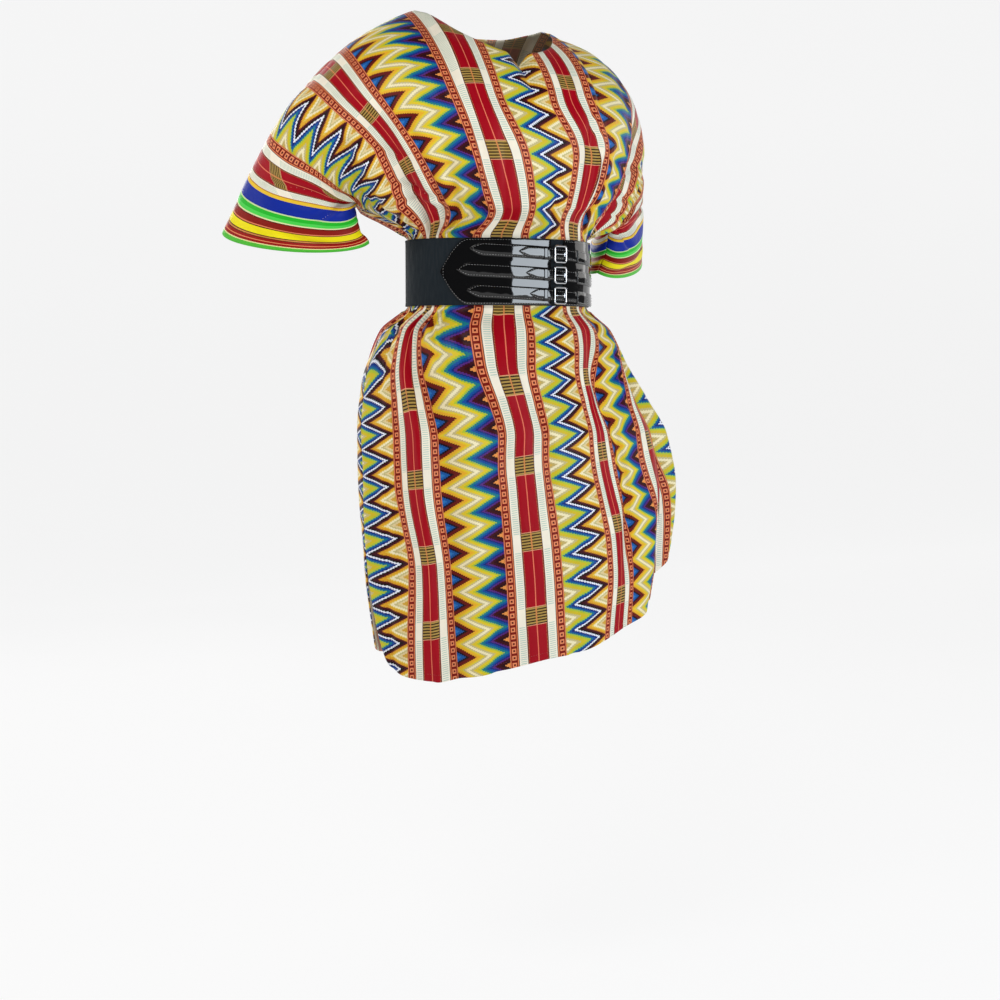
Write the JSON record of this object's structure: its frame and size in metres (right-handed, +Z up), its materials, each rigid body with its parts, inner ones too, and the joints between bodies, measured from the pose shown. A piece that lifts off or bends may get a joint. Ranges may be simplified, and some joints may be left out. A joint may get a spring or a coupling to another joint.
{
  "type": "kaftan dress",
  "caption": "Knee-length printed kaftan dress with wide cut-in-one sleeves, a notched round neck, a rounded hem and a wide buckled waist belt, in its worn hollow form.",
  "frame": {"origin": "centre of the base of the neck, level with the shoulder tops, where the wearer holds the dress up", "axes": "+X towards the wearer's left, -Y the front, +Z up"},
  "size_m": [0.7451, 0.3697, 1.0057],
  "materials": {
    "printed_cotton": "wax-print cotton in stripes and zigzags, lightly glazed",
    "belt_elastic": "matt charcoal ribbed elastic",
    "patent_leather": "black patent, high gloss, stitched",
    "buckle_metal": "polished silver-coloured metal"
  },
  "bodies": {
    "root": {"front_panel": "printed_cotton", "back_panel": "printed_cotton", "belt_elastic": "belt_elastic", "belt_panel_right": "patent_leather", "belt_panel_left": "patent_leather", "strap_upper": "patent_leather", "strap_middle": "patent_leather", "strap_lower": "patent_leather", "billet_upper": "patent_leather", "billet_middle": "patent_leather", "billet_lower": "patent_leather", "keeper_upper": "patent_leather", "keeper_middle": "patent_leather", "keeper_lower": "patent_leather", "strap_base_upper": "patent_leather", "strap_base_middle": "patent_leather", "strap_base_lower": "patent_leather", "buckle_upper": "buckle_metal", "buckle_middle": "buckle_metal", "buckle_lower": "buckle_metal", "prong_upper": "buckle_metal", "prong_middle": "buckle_metal", "prong_lower": "buckle_metal"}
  },
  "joints": []
}
